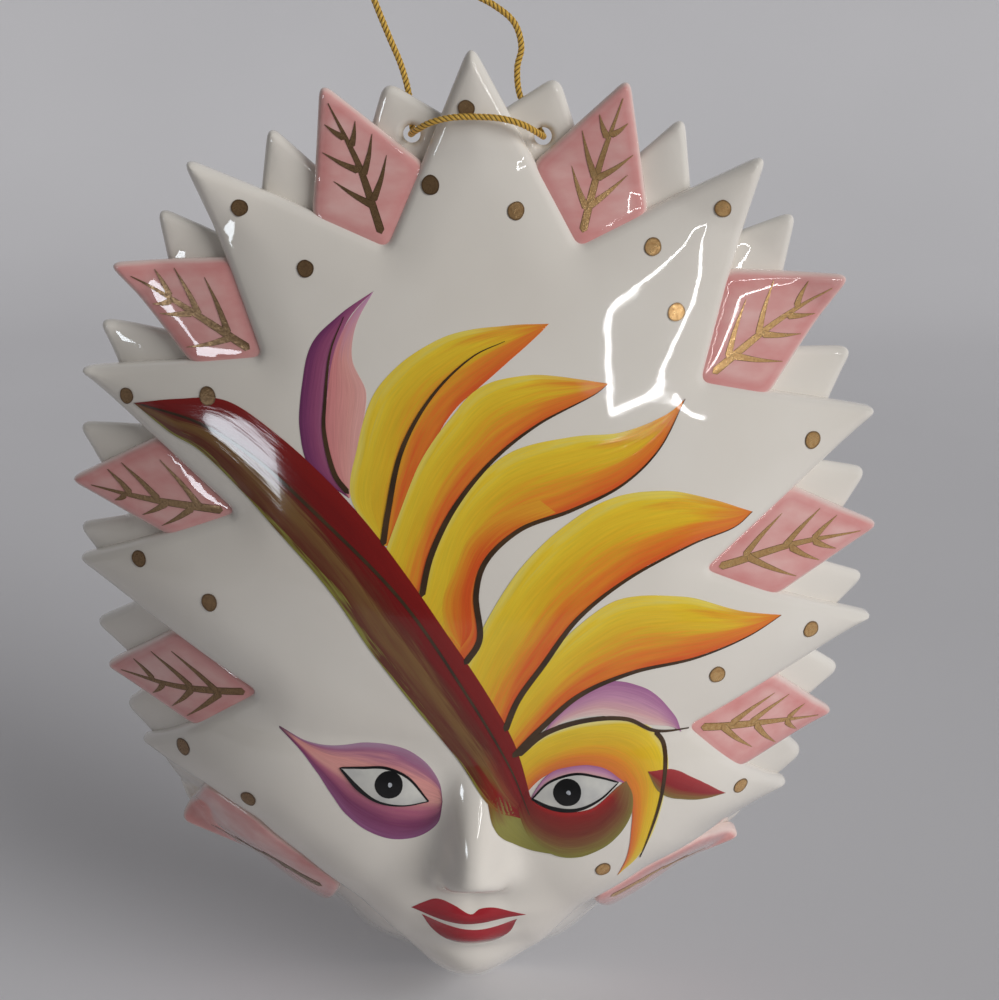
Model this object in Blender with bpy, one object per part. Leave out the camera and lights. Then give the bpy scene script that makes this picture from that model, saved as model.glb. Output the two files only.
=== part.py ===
"""A glazed ceramic wall mask in the Venetian style: a hollow face shell with nine points, ten leaf
panels in its notches and a rear ring of short rays, hung by a metallic cord through two holes.

Metres, +Z up. The mask faces -Y and its flat back rim lies in the plane Y = 0. The origin is on
that rim, midway between the two cord holes."""

import math

import bmesh
import bpy
from mathutils import Matrix, Vector

MM = 0.001

# --- Driving dimensions, in millimetres -------------------------------------------------------
DOME_HEIGHT = 40.0       # how far the shell's back bulges from the wall at its highest
DOME_CENTRE_Z = -141.0   # the highest place, between the eyes
RING_THICKNESS = 4.0
TIER_GAP = 1.0           # clearance between one tier's front and the next tier's back
JAW_LEAF_GAP = 1.8       # the same for the lowest leaves, measured forward from a steep wall
LEAF_THICKNESS = 2.8
FRONT_THICKNESS = 5.5
RAY_DEPTH = 0.15         # how deep the valleys between rays go, as a share of the way to the centre
RAY_TOP_Z = 1.0          # the ring behind the top point
SIDE_GAP = 0.4           # clearance between a leaf panel and the edges of its notch
CORNER_RADIUS = 2.0
OPENING_CORNER = 6.0     # corner radius of the ring's open middle
OPENING_SHARE = 0.15     # how far inside the notches that opening's corners lie
GRID_STEP = 10.0         # spacing of the cuts that let a flat plate follow the dome
FINE_STEP = 5.0          # finer spacing over the nose and mouth and under the jaw
CUTS_X = (-112, 112)     # how far the cuts reach
CUTS_Z = (-234, 24)
NOSE_CUTS_X = (-12, 20)

HOLE_X = 16.2
HOLE_RADIUS = 2.15
HOLE_SIDES = 24
HOLE_CUT_LENGTH = 30.0
CORD_RADIUS = 0.8
CORD_BACK_Y = 1.2        # the cord's centre line behind the back rim, which is the loop's pivot

JAW_TOP_Z = -160.0       # below this the dome is steep, and every cut is fine
FACE_CUTS_TOP_Z = -136.0
UNDER_JAW_ANGLES = (-47, -60, -72)   # directions from the dome's centre to the rim under the jaw

# Rim of the dome: degrees above horizontal at the centre, radius and fullness. A high fullness
# keeps the dome high until it drops steeply near the rim, as under the jaw.
EDGE_SOFTNESS = 1.3
RIM = (
    (-90, 97, 4.6),
    (-75, 89, 4.6),
    (-60, 82, 4.6),
    (-45, 82, 4.6),
    (-30, 87, 4.4),
    (-15, 95, 3.6),
    (0, 102, 2.6),
    (30, 124, 2.1),
    (60, 136, 2.0),
    (90, 136, 2.0),
)

# Front outline: the top point, then each side's notches and points from the top to the jaw.
TOP_POINT = (-1.7, 21)
CHIN = (4.0, -227.0)
SIDES = {
    "left": {
        "notches": [(-21.5, -26), (-52, -52.5), (-58, -90), (-52.5, -134.5), (-32, -188.5)],
        "points": [(-72, -7), (-101.5, -60), (-104, -110), (-90.5, -163)],
        "jaw": [(-68, -166), (-53.5, -171)],
        "chin_side": [(-21.5, -199), (-8, -219)],
        "leaf_tips": [(-38, 11.5), (-92, -33), (-105, -89), (-99, -141.5), (-80.5, -187.5)],
        "rays": [(-22.6, 12), (-51.5, 1), (-80, -19.5), (-96.5, -48), (-103.5, -75.5), (-104.5, -102.5),
                 (-102.5, -131), (-95.5, -155)],
    },
    "right": {
        "notches": [(25.5, -25), (56.5, -56.5), (59, -101.5), (56.5, -142), (34, -194)],
        "points": [(70.5, -3.5), (103.5, -66.5), (107.5, -123), (88.5, -173)],
        "jaw": [(62, -180), (48.5, -185)],
        "chin_side": [(31, -197), (18, -214)],
        "leaf_tips": [(36.5, 14), (93.5, -32.5), (106, -96.5), (99, -151), (76, -188.5)],
        "rays": [(19.3, 14), (50.5, 5), (79.5, -17.5), (96.5, -51.5), (102.5, -83), (104.5, -112),
                 (100.5, -139.5), (92.5, -165.5)],
    },
}
# How far each leaf follows its notch's upper and lower edge, as a share of that edge.
LEAF_REACH = ((0.40, 0.36), (0.47, 0.36), (0.48, 0.38), (0.43, 0.47))

# Face relief on the front shell: the nose's line, its length and its height, then the lips.
NOSE_X = 3.0
NOSE_TOP_Z = -142.0
NOSE_TIP_Z = -174.0
NOSE_BASE_Z = -182.0
NOSE_HEIGHT = 13.0
NOSE_HALF_WIDTH = 8.0
LIPS_Z = -192.0
LIPS_HEIGHT = 3.0
LIPS_HALF_WIDTH = 12.0
LIPS_HALF_DEPTH = 6.0

# The free cord behind and above the mask, as (x, y, z) from each hole's back to the knot.
CORD_ROUTES = {
    "left": [(-16.2, 1.2, 0), (-16.6, 1.2, 5), (-17.3, 1.2, 10), (-19, 1.1, 16), (-22, 0.4, 23),
             (-25.3, -0.4, 31), (-28.5, -1.1, 40), (-31, -1.8, 48), (-32.5, -2.2, 54)],
    "right": [(16.2, 1.2, 0), (13.5, 1.2, 4.5), (10.3, 1.2, 9.5), (9.5, 1.2, 16), (10.4, 1, 21),
              (8.6, 0.6, 26.5), (3.6, 0.2, 30.5), (-4, -0.3, 34), (-14, -0.9, 39), (-24, -1.6, 46),
              (-29.5, -2.1, 53)],
}
FRONT_SPAN = [(-16.2, -1.2, 0), (-16.2, -4.5, 0.1), (-15, -8.2, 1), (-11, -11.3, 3.2), (-6, -12.1, 4.5),
              (0, -12.2, 4.8), (6, -12.1, 4.5), (11, -11.3, 3.2), (15, -8.2, 1), (16.2, -4.5, 0.1),
              (16.2, -1.2, 0)]
KNOT = (-31.5, -2.3, 57.5)
KNOT_RADII = (3.2, 2.4, 2.9)


def smooth_step(value):
    value = min(max(value, 0.0), 1.0)
    return value * value * (3 - 2 * value)


def rim_at(angle):
    """The rim's radius and the dome's fullness in this direction, blended between RIM's rows."""
    for low, high in zip(RIM, RIM[1:]):
        if angle <= high[0]:
            share = smooth_step((angle - low[0]) / (high[0] - low[0]))
            return [a + (b - a) * share for a, b in zip(low[1:], high[1:])]
    return RIM[-1][1:]


def dome(x, z):
    """Height of the shell's back above the wall, zero on the flat rim."""
    across, up = abs(x), z - DOME_CENTRE_Z
    radius, fullness = rim_at(math.degrees(math.atan2(up, max(across, 1e-6))))
    share = min(math.hypot(across, up) / radius, 1.0)
    return DOME_HEIGHT * (1 - share**fullness) ** EDGE_SOFTNESS


def nose(x, z):
    """The nose's height: a ridge that widens and rises to the tip, then drops to its base."""
    along = (NOSE_TOP_Z - z) / (NOSE_TOP_Z - NOSE_TIP_Z)
    if along <= 0 or z <= NOSE_BASE_Z:
        return 0.0
    rise = smooth_step(along) if along < 1 else smooth_step((z - NOSE_BASE_Z) / (NOSE_TIP_Z - NOSE_BASE_Z))
    half_width = NOSE_HALF_WIDTH * (0.65 + 0.35 * min(along, 1.0))
    return NOSE_HEIGHT * rise * math.exp(-(((x - NOSE_X) / half_width) ** 2))


def lips(x, z):
    across, up = (x - NOSE_X) / LIPS_HALF_WIDTH, (z - LIPS_Z) / LIPS_HALF_DEPTH
    return LIPS_HEIGHT * math.exp(-across * across - up * up)


def face_relief(x, z):
    return nose(x, z) + lips(x, z)


def material(name, colour, roughness, metallic=0.0):
    made = bpy.data.materials.new(name)
    made.use_nodes = True
    shader = made.node_tree.nodes["Principled BSDF"]
    shader.inputs["Base Color"].default_value = (*colour, 1)
    shader.inputs["Roughness"].default_value = roughness
    shader.inputs["Metallic"].default_value = metallic
    return made


def new_collection(name):
    made = bpy.data.collections.new(name)
    bpy.context.scene.collection.children.link(made)
    return made


def toward(start, end, share):
    return tuple(a + (b - a) * share for a, b in zip(start, end))


def rounded(outline, radius=CORNER_RADIUS):
    """The closed outline with each corner cut back to three points of a round."""
    result = []
    for before, corner, after in zip(outline[-1:] + outline[:-1], outline, outline[1:] + outline[:1]):
        ends = []
        for other in (before, after):
            length = math.dist(corner, other)
            ends.append(toward(corner, other, min(radius / length, 0.3)))
        middle = toward(corner, toward(ends[0], ends[1], 0.5), 0.5)
        result += [ends[0], middle, ends[1]]
    return result


def flat_plate(name, outlines, thickness):
    """A filled 2D curve as a mesh: upright, back on Y = 0 and front at -thickness."""
    data = bpy.data.curves.new(name, "CURVE")
    data.dimensions = "2D"
    data.fill_mode = "BOTH"
    data.extrude = thickness / 2 * MM
    for outline in outlines:
        spline = data.splines.new("POLY")
        spline.points.add(len(outline) - 1)
        for point, (x, z) in zip(spline.points, outline):
            point.co = (x * MM, z * MM, 0, 1)
        spline.use_cyclic_u = True
    curve = bpy.data.objects.new(name, data)
    curve.rotation_euler = (math.radians(90), 0, 0)
    curve.location = (0, -thickness / 2 * MM, 0)
    bpy.context.scene.collection.objects.link(curve)
    bpy.context.view_layer.update()
    mesh = bpy.data.meshes.new_from_object(curve.evaluated_get(bpy.context.evaluated_depsgraph_get()))
    mesh.transform(curve.matrix_world)
    bpy.data.objects.remove(curve)
    return mesh


def cut_lines(low, high, step):
    """Evenly spaced places from low to high that fall on whole multiples of step."""
    return [k * step for k in range(math.ceil(low / step), math.floor(high / step) + 1)]


def slice_mesh(bm, axis, places, top=math.inf):
    """Cuts every face whose middle is below `top` along planes across this axis."""
    normal = Vector((1, 0, 0)) if axis == 0 else Vector((0, 0, 1))
    for place in places:
        faces = [face for face in bm.faces if face.calc_center_median().z < top * MM]
        edges = {edge for face in faces for edge in face.edges}
        verts = {vert for face in faces for vert in face.verts}
        bmesh.ops.bisect_plane(bm, geom=[*verts, *edges, *faces], dist=1e-7,
                               plane_co=normal * place * MM, plane_no=normal)


def domed_plate(name, outlines, back, thickness, relief=None):
    """A plate that follows the dome, its back `back` millimetres in front of the dome's own."""
    mesh = flat_plate(name, outlines, thickness)
    bm = bmesh.new()
    bm.from_mesh(mesh)
    bmesh.ops.remove_doubles(bm, verts=bm.verts, dist=1e-6)
    bmesh.ops.dissolve_limit(bm, angle_limit=0.001, verts=bm.verts, edges=bm.edges)
    slice_mesh(bm, 0, cut_lines(*CUTS_X, GRID_STEP))
    slice_mesh(bm, 2, cut_lines(*CUTS_Z, GRID_STEP))
    slice_mesh(bm, 2, cut_lines(CUTS_Z[0], FACE_CUTS_TOP_Z, FINE_STEP))
    slice_mesh(bm, 0, cut_lines(*CUTS_X, FINE_STEP), JAW_TOP_Z)
    if relief:
        slice_mesh(bm, 0, cut_lines(*NOSE_CUTS_X, FINE_STEP), NOSE_TOP_Z + FINE_STEP)
    for vert in bm.verts:
        x, z = vert.co.x / MM, vert.co.z / MM
        rise = dome(x, z) + back
        if relief and vert.co.y < -thickness / 2 * MM:
            rise += relief(x, z)
        vert.co.y -= rise * MM
    bmesh.ops.triangulate(bm, faces=bm.faces)
    bmesh.ops.recalc_face_normals(bm, faces=bm.faces)
    bm.to_mesh(mesh)
    bm.free()
    return bpy.data.objects.new(name, mesh)


def front_outline():
    """Round the mask from the top point down the right side to the chin and back up the left."""
    sides = []
    for side in (SIDES["right"], SIDES["left"]):
        outline = []
        for notch, point in zip(side["notches"], side["points"]):
            outline += [notch, point]
        outline += side["jaw"] + [side["notches"][-1]] + side["chin_side"]
        sides.append(outline)
    return [TOP_POINT] + sides[0] + [CHIN] + sides[1][::-1]


def rim_point(sign, angle, inset=0.0):
    """A place on the dome's rim in this direction, moved inward by the inset."""
    reach = rim_at(angle)[0] - inset
    return (sign * reach * math.cos(math.radians(angle)), DOME_CENTRE_Z + reach * math.sin(math.radians(angle)))


def ring_outline():
    """Rays with a shallow valley between neighbours, then the rim under the jaw and the chin."""
    halves = []
    for sign, side in ((1, SIDES["right"]), (-1, SIDES["left"])):
        rays = side["rays"]
        half = [rays[0]]
        for before, ray in zip(rays, rays[1:]):
            half += [toward(toward(before, ray, 0.5), (0, DOME_CENTRE_Z), RAY_DEPTH), ray]
        tip_x, tip_z = side["leaf_tips"][-1]
        half += [toward(side["points"][-1], (0, DOME_CENTRE_Z), 0.04), (tip_x - sign * 1.5, tip_z + 1.5)]
        half += [rim_point(sign, angle) for angle in UNDER_JAW_ANGLES]
        halves.append(half)
    under_top = (TOP_POINT[0], RAY_TOP_Z)
    under_chin = (CHIN[0] / 2, DOME_CENTRE_Z - rim_at(-90)[0] + 2)
    return [under_top] + halves[0] + [under_chin] + halves[1][::-1]


def ring_opening():
    """The ring's open middle, a little inside the notches so that every leaf is backed."""
    centre = (0, DOME_CENTRE_Z)
    right, left = ([toward(notch, centre, OPENING_SHARE) for notch in SIDES[side]["notches"]]
                   for side in ("right", "left"))
    return right + left[::-1]


def inset_corner(corner, before, after, gap):
    """A corner moved inward so that both of its edges clear the lines they follow by the gap."""
    corner, before, after = Vector(corner), Vector(before), Vector(after)
    one, other = (before - corner).normalized(), (after - corner).normalized()
    return tuple(corner + (one + other).normalized() * gap / math.sin(one.angle(other) / 2))


def inset_along(corner, end, share, inner):
    """A place on the edge from corner to end, moved off it by the side gap towards inner."""
    place = Vector(toward(corner, end, share))
    edge = (Vector(end) - Vector(corner)).normalized()
    normal = Vector((-edge.y, edge.x))
    if normal.dot(Vector(inner) - Vector(corner)) < 0:
        normal.negate()
    return tuple(place + normal * SIDE_GAP)


def leaf_outline(side, number):
    """A kite: its inner half fills the notch, its outer half reaches past the front points."""
    notch, tip = side["notches"][number], side["leaf_tips"][number]
    upper = TOP_POINT if number == 0 else side["points"][number - 1]
    lower = side["points"][number]
    upper_reach, lower_reach = LEAF_REACH[number]
    inner = inset_corner(notch, upper, lower, SIDE_GAP)
    upper_side = inset_along(notch, upper, upper_reach, tip)
    lower_side = inset_along(notch, lower, lower_reach, tip)
    return [inner, upper_side, tip, lower_side]


def jaw_leaf_outline(sign, side):
    """The lowest leaf lies on the steep wall under the jaw, from the last point to the chin."""
    notch, tip = Vector(side["notches"][-1]), Vector(side["leaf_tips"][-1])
    clear = Vector((0, -1.2))
    jaw_out, jaw_in = (Vector(place) + clear for place in side["jaw"])
    inner = notch + Vector((sign * 1.2, -1.0))
    lower = [rim_point(sign, angle, inset=2.0) for angle in UNDER_JAW_ANGLES[:2]]
    return [tuple(inner), tuple(jaw_in), tuple(jaw_out), tuple(tip), *lower]


def cylinder_cutter(name, x, radius, collection):
    bpy.ops.mesh.primitive_cylinder_add(
        vertices=HOLE_SIDES,
        radius=radius * MM,
        depth=HOLE_CUT_LENGTH * MM,
        location=(x * MM, 0, 0),
        rotation=(math.radians(90), 0, 0),
    )
    cutter = bpy.context.active_object
    cutter.name = name
    cutter.hide_render = True
    cutter.display_type = "WIRE"
    for owner in cutter.users_collection:
        owner.objects.unlink(cutter)
    collection.objects.link(cutter)
    return cutter


def smooth_path(points, spacing):
    """Places along a smooth curve through the points, about `spacing` millimetres apart."""
    points = [Vector(p) for p in points]
    padded = [2 * points[0] - points[1], *points, 2 * points[-1] - points[-2]]
    dense = []
    for a, b, c, d in zip(padded, padded[1:], padded[2:], padded[3:]):
        for step in range(12):
            t = step / 12
            dense.append(
                0.5 * (2 * b + (c - a) * t + (2 * a - 5 * b + 4 * c - d) * t * t
                       + (3 * b - a - 3 * c + d) * t**3)
            )
    dense.append(points[-1])
    length = sum((b - a).length for a, b in zip(dense, dense[1:]))
    count = max(3, round(length / spacing))
    result, walked, target = [dense[0]], 0.0, length / count
    for a, b in zip(dense, dense[1:]):
        gap = (b - a).length
        while walked + gap >= target - 1e-6 and len(result) < count:
            result.append(a.lerp(b, (target - walked) / gap))
            target += length / count
        walked += gap
    return [*result, dense[-1]]


def cord_tube(name, points):
    """A round cord: a poly curve with a bevel and filled caps."""
    path = smooth_path(points, CORD_RADIUS * 5)
    data = bpy.data.curves.new(name, "CURVE")
    data.dimensions = "3D"
    data.bevel_depth = CORD_RADIUS * MM
    data.bevel_resolution = 2
    data.use_fill_caps = True
    spline = data.splines.new("POLY")
    spline.points.add(len(path) - 1)
    for point, place in zip(spline.points, path):
        point.co = (*(place * MM), 1)
    return bpy.data.objects.new(name, data)


def knot_solid(name):
    bm = bmesh.new()
    bmesh.ops.create_uvsphere(bm, u_segments=12, v_segments=8, radius=1.0)
    mesh = bpy.data.meshes.new(name)
    bm.to_mesh(mesh)
    bm.free()
    mesh.transform(Matrix.Diagonal((*[r * MM for r in KNOT_RADII], 1)))
    made = bpy.data.objects.new(name, mesh)
    made.location = Vector(KNOT) * MM
    return made


def add(collection, made, look):
    made.data.materials.clear()
    made.data.materials.append(look)
    collection.objects.link(made)
    return made


def build_ring(parts, cutters, look):
    ring = domed_plate("ray_ring", [rounded(ring_outline()), rounded(ring_opening(), OPENING_CORNER)], 0, RING_THICKNESS)
    add(parts, ring, look)
    for side, sign in (("left", -1), ("right", 1)):
        hole = ring.modifiers.new(f"cord_hole_{side}", "BOOLEAN")
        hole.operation = "DIFFERENCE"
        hole.object = cylinder_cutter(f"cord_hole_cutter_{side}", sign * HOLE_X, HOLE_RADIUS, cutters)


def build_leaves(parts, look):
    for label, sign in (("left", -1), ("right", 1)):
        side = SIDES[label]
        outlines = [leaf_outline(side, number) for number in range(len(LEAF_REACH))]
        outlines.append(jaw_leaf_outline(sign, side))
        for number, outline in enumerate(outlines, 1):
            gap = JAW_LEAF_GAP if number == len(outlines) else TIER_GAP
            leaf = domed_plate(f"leaf_{label}_{number}", [rounded(outline)], RING_THICKNESS + gap,
                               LEAF_THICKNESS)
            add(parts, leaf, look)


def build_cord(parts, look):
    pivot = bpy.data.objects.new("loop_pivot", None)
    pivot.location = (0, CORD_BACK_Y * MM, 0)
    parts.objects.link(pivot)
    add(parts, cord_tube("cord_front_span", FRONT_SPAN), look)
    loop = [cord_tube("cord_left_leg", CORD_ROUTES["left"]),
            cord_tube("cord_right_leg", CORD_ROUTES["right"]),
            knot_solid("cord_knot")]
    for piece in loop:
        add(parts, piece, look)
        piece.parent = pivot
        piece.matrix_parent_inverse = Matrix.Translation(-pivot.location)


def main():
    for old in list(bpy.data.objects):
        bpy.data.objects.remove(old)
    parts = new_collection("venetian_wall_mask")
    cutters = new_collection("cutters")
    glaze = material("white_glaze", (0.60, 0.58, 0.54), 0.12)
    pink = material("pink_glaze", (0.66, 0.30, 0.30), 0.14)
    gold = material("gold_cord", (0.55, 0.35, 0.08), 0.4, 0.8)

    build_ring(parts, cutters, glaze)
    build_leaves(parts, pink)
    shell = domed_plate("face_shell", [rounded(front_outline())], RING_THICKNESS + TIER_GAP,
                        FRONT_THICKNESS, face_relief)
    add(parts, shell, glaze)
    build_cord(parts, gold)


main()
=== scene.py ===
"""The finished look of a glazed ceramic wall mask with a hanging cord.

The tiers of the relief are rebuilt as smooth closed meshes over the same dome as the CAD, the painting is
laid on them as thin closed strokes, and the cord is twisted from strands. Lengths are in millimetres until
a mesh is made. The mask faces -Y, its flat back rim lies in Y = 0 and +Z is up."""

import math
import random

import bmesh
import bpy
import numpy as np
from mathutils import Matrix, Vector
from mathutils.geometry import delaunay_2d_cdt


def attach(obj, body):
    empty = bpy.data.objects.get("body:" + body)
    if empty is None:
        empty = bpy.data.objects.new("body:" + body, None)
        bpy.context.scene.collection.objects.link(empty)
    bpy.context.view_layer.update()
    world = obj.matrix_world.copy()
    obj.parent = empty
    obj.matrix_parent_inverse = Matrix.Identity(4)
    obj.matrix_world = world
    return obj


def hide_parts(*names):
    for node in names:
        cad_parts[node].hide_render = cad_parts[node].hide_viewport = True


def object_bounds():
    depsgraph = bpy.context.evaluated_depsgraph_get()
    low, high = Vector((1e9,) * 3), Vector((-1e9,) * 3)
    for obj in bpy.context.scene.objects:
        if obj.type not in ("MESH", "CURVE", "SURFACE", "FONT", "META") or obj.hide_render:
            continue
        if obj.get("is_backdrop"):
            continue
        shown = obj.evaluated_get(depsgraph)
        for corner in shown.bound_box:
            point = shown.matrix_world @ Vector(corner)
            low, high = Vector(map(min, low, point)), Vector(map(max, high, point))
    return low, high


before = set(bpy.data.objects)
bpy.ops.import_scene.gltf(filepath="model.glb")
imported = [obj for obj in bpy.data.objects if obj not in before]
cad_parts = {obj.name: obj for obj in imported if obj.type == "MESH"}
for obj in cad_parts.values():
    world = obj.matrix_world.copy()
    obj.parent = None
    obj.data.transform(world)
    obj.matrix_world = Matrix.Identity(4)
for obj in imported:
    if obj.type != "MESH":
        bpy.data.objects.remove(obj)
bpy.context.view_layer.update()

MM = 0.001

# --- The mask's dimensions, the same as in the CAD ----------------------------------------------
DOME_HEIGHT = 40.0
DOME_CENTRE_Z = -141.0
EDGE_SOFTNESS = 1.3
RIM = (  # degrees above horizontal, radius, fullness
    (-90, 97, 4.6),
    (-75, 89, 4.6),
    (-60, 82, 4.6),
    (-45, 82, 4.6),
    (-30, 87, 4.4),
    (-15, 95, 3.6),
    (0, 102, 2.6),
    (30, 124, 2.1),
    (60, 136, 2.0),
    (90, 136, 2.0),
)
RING_THICKNESS = 4.0
RING_LIP = 0.8            # thickness at the ring's open middle
RING_TAPER = 18.0         # how far from the open middle the back starts to taper
LEAF_FRONT = 7.8          # height of each tier's front above the dome
JAW_LEAF_FRONT = 9.6
SHELL_FRONT = 10.5
SHELL_BACK = 3.4          # the tiers sink a little into each other, as one casting does
LEAF_BACK = 3.4

TOP_POINT = (-1.7, 21)
CHIN = (4.0, -227.0)
SIDES = {
    "left": {
        "notches": [(-21.5, -26), (-52, -52.5), (-58, -90), (-52.5, -134.5), (-32, -188.5)],
        "points": [(-72, -7), (-101.5, -60), (-104, -110), (-90.5, -163)],
        "jaw": [(-68, -166), (-53.5, -171)],
        "chin_side": [(-21.5, -199), (-8, -219)],
        "leaf_tips": [(-38, 11.5), (-92, -33), (-105, -89), (-99, -141.5), (-80.5, -187.5)],
        "rays": [(-22.6, 12), (-51.5, 1), (-80, -19.5), (-96.5, -48), (-103.5, -75.5), (-104.5, -102.5),
                 (-102.5, -131), (-95.5, -155)],
    },
    "right": {
        "notches": [(25.5, -25), (56.5, -56.5), (59, -101.5), (56.5, -142), (34, -194)],
        "points": [(70.5, -3.5), (103.5, -66.5), (107.5, -123), (88.5, -173)],
        "jaw": [(62, -180), (48.5, -185)],
        "chin_side": [(31, -197), (18, -214)],
        "leaf_tips": [(36.5, 14), (93.5, -32.5), (106, -96.5), (99, -151), (76, -188.5)],
        "rays": [(19.3, 14), (50.5, 5), (79.5, -17.5), (96.5, -51.5), (102.5, -83), (104.5, -112),
                 (100.5, -139.5), (92.5, -165.5)],
    },
}
LEAF_REACH = ((0.40, 0.36), (0.47, 0.36), (0.48, 0.38), (0.43, 0.47))
RAY_DEPTH = 0.15
RAY_TOP_Z = 1.0
OPENING_SHARE = 0.15
UNDER_JAW_ANGLES = (-47, -60, -72)
HOLE_X = 16.2
HOLE_RADIUS = 2.15

NOSE_X = 3.0
NOSE_TOP_Z = -144.0
NOSE_TIP_Z = -173.5
NOSE_BASE_Z = -184.0
NOSE_HEIGHT = 13.0
NOSE_HALF_WIDTH = 7.6

# The free cord: the routes of the CAD, with the front span carried through the holes to the pivot.
CORD_RADIUS = 0.8
CORD_ROUTES = {
    "left": [(-16.2, 1.2, 0), (-16.6, 1.2, 5), (-17.3, 1.2, 10), (-19, 1.1, 16), (-22, 0.4, 23),
             (-25.3, -0.4, 31), (-28.5, -1.1, 40), (-31, -1.8, 48), (-32.5, -2.2, 54)],
    "right": [(16.2, 1.2, 0), (13.5, 1.2, 4.5), (10.3, 1.2, 9.5), (9.5, 1.2, 16), (10.4, 1, 21),
              (8.6, 0.6, 26.5), (3.6, 0.2, 30.5), (-4, -0.3, 34), (-14, -0.9, 39), (-24, -1.6, 46),
              (-29.5, -2.1, 53)],
}
FRONT_SPAN = [(-16.2, 1.2, 0), (-16.2, -1.2, 0), (-16.2, -4.5, 0.1), (-15, -8.2, 1), (-11, -11.3, 3.2),
              (-6, -12.1, 4.5), (0, -12.2, 4.8), (6, -12.1, 4.5), (11, -11.3, 3.2), (15, -8.2, 1),
              (16.2, -4.5, 0.1), (16.2, -1.2, 0), (16.2, 1.2, 0)]
KNOT = (-31.5, -2.3, 57.5)

# --- Camera ----------------------------------------------------------------------------------
CAMERA_PITCH = 17.0       # degrees down, then turned and rolled a little
CAMERA_YAW = 0.8
CAMERA_ROLL = 1.0
CAMERA_TARGET = (0.0072, -0.014, -0.0904)
CAMERA_DISTANCE = 0.385
CAMERA_LENS = 54.05
SENSOR_WIDTH = 36.0


def linear(red, green, blue):
    """A colour given as 0 to 255 display values, as linear red, green, blue and alpha."""
    channels = [c / 255 for c in (red, green, blue)]
    return (*[c / 12.92 if c <= 0.04045 else ((c + 0.055) / 1.055) ** 2.4 for c in channels], 1.0)


def add_camera():
    data = bpy.data.cameras.new("camera")
    data.sensor_fit = "HORIZONTAL"
    data.sensor_width = SENSOR_WIDTH
    data.lens = CAMERA_LENS
    data.clip_start = 0.01
    camera = bpy.data.objects.new("camera", data)
    turn = (Matrix.Rotation(math.radians(CAMERA_YAW), 4, "Z")
            @ Matrix.Rotation(math.radians(90 - CAMERA_PITCH), 4, "X")
            @ Matrix.Rotation(math.radians(CAMERA_ROLL), 4, "Z"))
    camera.matrix_world = (Matrix.Translation(CAMERA_TARGET) @ turn
                           @ Matrix.Translation((0, 0, CAMERA_DISTANCE)))
    bpy.context.scene.collection.objects.link(camera)
    bpy.context.scene.camera = camera


# --- Curves and meshes -----------------------------------------------------------------------
def smooth_line(points, count):
    """Evenly spaced places on a smooth curve through the points."""
    points = np.array(points, float)
    chords = np.linalg.norm(np.diff(points, axis=0), axis=1)
    at = np.concatenate([[0], np.cumsum(np.sqrt(chords))])
    slopes = np.gradient(points, at, axis=0)
    dense_at = np.linspace(0, at[-1], 16 * len(points))
    index = np.clip(np.searchsorted(at, dense_at, side="right") - 1, 0, len(at) - 2)
    span = (at[index + 1] - at[index])[:, None]
    t = (dense_at - at[index])[:, None] / span
    start, end = points[index], points[index + 1]
    leave, arrive = slopes[index] * span, slopes[index + 1] * span
    dense = ((2 * t**3 - 3 * t**2 + 1) * start + (t**3 - 2 * t**2 + t) * leave
             + (3 * t**2 - 2 * t**3) * end + (t**3 - t**2) * arrive)
    walked = np.concatenate([[0], np.cumsum(np.linalg.norm(np.diff(dense, axis=0), axis=1))])
    even = np.linspace(0, walked[-1], count)
    return np.column_stack([np.interp(even, walked, column) for column in dense.T])


def line_length(line):
    return float(np.linalg.norm(np.diff(line, axis=0), axis=1).sum())


class Shape:
    """Vertices in millimetres, faces and named values for each vertex, gathered before one mesh is made."""

    def __init__(self):
        self.verts, self.faces, self.values = [], [], {}

    def add(self, verts, faces, **values):
        start = sum(len(part) for part in self.verts)
        self.verts.append(np.asarray(verts, float))
        self.faces += [tuple(start + index for index in face) for face in faces]
        for name, value in values.items():
            self.values.setdefault(name, []).append(np.asarray(value, float))

    def build(self, name, material, body, slot, replaces=(), sharp=50):
        mesh = bpy.data.meshes.new(name)
        mesh.from_pydata(np.concatenate(self.verts) * MM, [], self.faces)
        bm = bmesh.new()
        bm.from_mesh(mesh)
        bmesh.ops.recalc_face_normals(bm, faces=bm.faces)
        bm.to_mesh(mesh)
        bm.free()
        for label, parts in self.values.items():
            value = np.concatenate(parts)
            kind = "FLOAT_VECTOR" if value.ndim == 2 else "FLOAT"
            layer = mesh.attributes.new(label, kind, "POINT")
            layer.data.foreach_set("vector" if value.ndim == 2 else "value", value.ravel())
        mesh.shade_smooth()
        mesh.set_sharp_from_angle(angle=math.radians(sharp))
        mesh.materials.append(material)
        piece = bpy.data.objects.new(name, mesh)
        bpy.context.scene.collection.objects.link(piece)
        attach(piece, body)
        if replaces:
            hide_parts(*replaces)
        return piece


# --- Materials -------------------------------------------------------------------------------
GLAZE_ROUGHNESS = 0.04
PAINT_ROUGHNESS = 0.09
COAT = 0.4                # the clear coat over glaze and paint
COAT_ROUGHNESS = 0.02


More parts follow.
